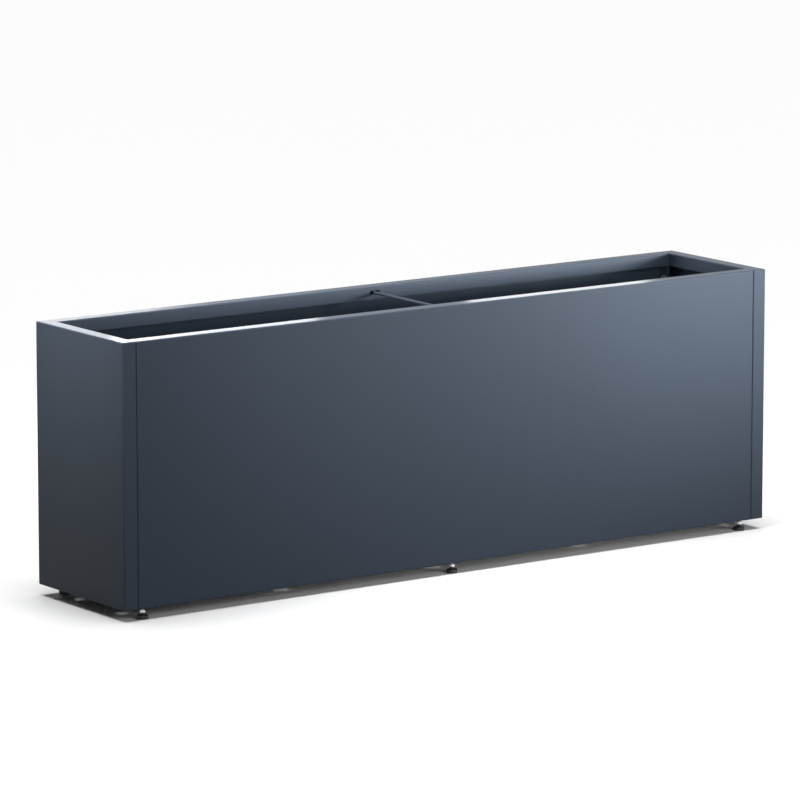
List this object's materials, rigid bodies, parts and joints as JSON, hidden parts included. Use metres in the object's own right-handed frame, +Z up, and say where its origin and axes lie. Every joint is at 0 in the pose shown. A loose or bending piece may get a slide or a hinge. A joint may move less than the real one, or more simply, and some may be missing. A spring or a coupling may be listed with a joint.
{
  "type": "rectangular planter",
  "caption": "Long rectangular sheet-steel planter with a folded inward rim, a tie bar across its mouth, a raised drained floor and screw-adjusted levelling feet.",
  "frame": {"origin": "on the ground under the middle of the planter", "axes": "+X along the long walls to the right end, -Y out of the front wall, +Z up"},
  "size_m": [1.5, 0.3, 0.521],
  "materials": {
    "anthracite_paint": "satin blue-grey powder coat",
    "galvanised_sheet": "dull spangled zinc",
    "zinc_plating": "bright zinc plating",
    "black_nylon": "moulded, slightly glossy"
  },
  "bodies": {
    "planter_body": {"front_panel": "anthracite_paint", "back_panel": "anthracite_paint", "left_end_panel": "anthracite_paint", "right_end_panel": "anthracite_paint", "floor_tray": "galvanised_sheet", "crossbar_1": "galvanised_sheet", "crossbar_2": "galvanised_sheet", "crossbar_3": "galvanised_sheet", "crossbar_4": "galvanised_sheet", "corner_bolts_front_left": "zinc_plating", "corner_bolts_front_right": "zinc_plating", "corner_bolts_back_left": "zinc_plating", "corner_bolts_back_right": "zinc_plating", "corner_nuts_front_left": "zinc_plating", "corner_nuts_front_right": "zinc_plating", "corner_nuts_back_left": "zinc_plating", "corner_nuts_back_right": "zinc_plating", "foot_weld_nuts": "zinc_plating", "crossbar_rivets": "zinc_plating"},
    "tie_bar": {"tie_bar": "anthracite_paint"},
    "pad_front_left": {"foot_pad_front_left": "black_nylon"},
    "stud_front_left": {"foot_stud_front_left": "zinc_plating"},
    "pad_front_middle": {"foot_pad_front_middle": "black_nylon"},
    "stud_front_middle": {"foot_stud_front_middle": "zinc_plating"},
    "pad_front_right": {"foot_pad_front_right": "black_nylon"},
    "stud_front_right": {"foot_stud_front_right": "zinc_plating"},
    "pad_back_left": {"foot_pad_back_left": "black_nylon"},
    "stud_back_left": {"foot_stud_back_left": "zinc_plating"},
    "pad_back_middle": {"foot_pad_back_middle": "black_nylon"},
    "stud_back_middle": {"foot_stud_back_middle": "zinc_plating"},
    "pad_back_right": {"foot_pad_back_right": "black_nylon"},
    "stud_back_right": {"foot_stud_back_right": "zinc_plating"}
  },
  "joints": [
    {"name": "tie_bar_turn", "type": "hinge", "parent": "planter_body", "child": "tie_bar", "pos_m": [0, 0, 0.50826], "axis": [0, 1, 0], "range_deg": [-90, 90]},
    {"name": "foot_height_front_left", "type": "slide", "parent": "planter_body", "child": "pad_front_left", "axis": [0, 0, 1], "range_m": [-0.013, 0.003]},
    {"name": "stud_turn_front_left", "type": "hinge", "parent": "pad_front_left", "child": "stud_front_left", "pos_m": [-0.702, -0.135, 0.02], "axis": [0, 0, 1], "range_deg": [-4680, 1080]},
    {"name": "foot_height_front_middle", "type": "slide", "parent": "planter_body", "child": "pad_front_middle", "axis": [0, 0, 1], "range_m": [-0.013, 0.003]},
    {"name": "stud_turn_front_middle", "type": "hinge", "parent": "pad_front_middle", "child": "stud_front_middle", "pos_m": [0, -0.135, 0.02], "axis": [0, 0, 1], "range_deg": [-4680, 1080]},
    {"name": "foot_height_front_right", "type": "slide", "parent": "planter_body", "child": "pad_front_right", "axis": [0, 0, 1], "range_m": [-0.013, 0.003]},
    {"name": "stud_turn_front_right", "type": "hinge", "parent": "pad_front_right", "child": "stud_front_right", "pos_m": [0.702, -0.135, 0.02], "axis": [0, 0, 1], "range_deg": [-4680, 1080]},
    {"name": "foot_height_back_left", "type": "slide", "parent": "planter_body", "child": "pad_back_left", "axis": [0, 0, 1], "range_m": [-0.013, 0.003]},
    {"name": "stud_turn_back_left", "type": "hinge", "parent": "pad_back_left", "child": "stud_back_left", "pos_m": [-0.702, 0.135, 0.02], "axis": [0, 0, 1], "range_deg": [-4680, 1080]},
    {"name": "foot_height_back_middle", "type": "slide", "parent": "planter_body", "child": "pad_back_middle", "axis": [0, 0, 1], "range_m": [-0.013, 0.003]},
    {"name": "stud_turn_back_middle", "type": "hinge", "parent": "pad_back_middle", "child": "stud_back_middle", "pos_m": [0, 0.135, 0.02], "axis": [0, 0, 1], "range_deg": [-4680, 1080]},
    {"name": "foot_height_back_right", "type": "slide", "parent": "planter_body", "child": "pad_back_right", "axis": [0, 0, 1], "range_m": [-0.013, 0.003]},
    {"name": "stud_turn_back_right", "type": "hinge", "parent": "pad_back_right", "child": "stud_back_right", "pos_m": [0.702, 0.135, 0.02], "axis": [0, 0, 1], "range_deg": [-4680, 1080]}
  ],
  "couplings": [
    {"joint": "stud_turn_front_left", "follows": "foot_height_front_left", "rad_per_m": 6283.2},
    {"joint": "stud_turn_front_middle", "follows": "foot_height_front_middle", "rad_per_m": 6283.2},
    {"joint": "stud_turn_front_right", "follows": "foot_height_front_right", "rad_per_m": 6283.2},
    {"joint": "stud_turn_back_left", "follows": "foot_height_back_left", "rad_per_m": 6283.2},
    {"joint": "stud_turn_back_middle", "follows": "foot_height_back_middle", "rad_per_m": 6283.2},
    {"joint": "stud_turn_back_right", "follows": "foot_height_back_right", "rad_per_m": 6283.2}
  ]
}
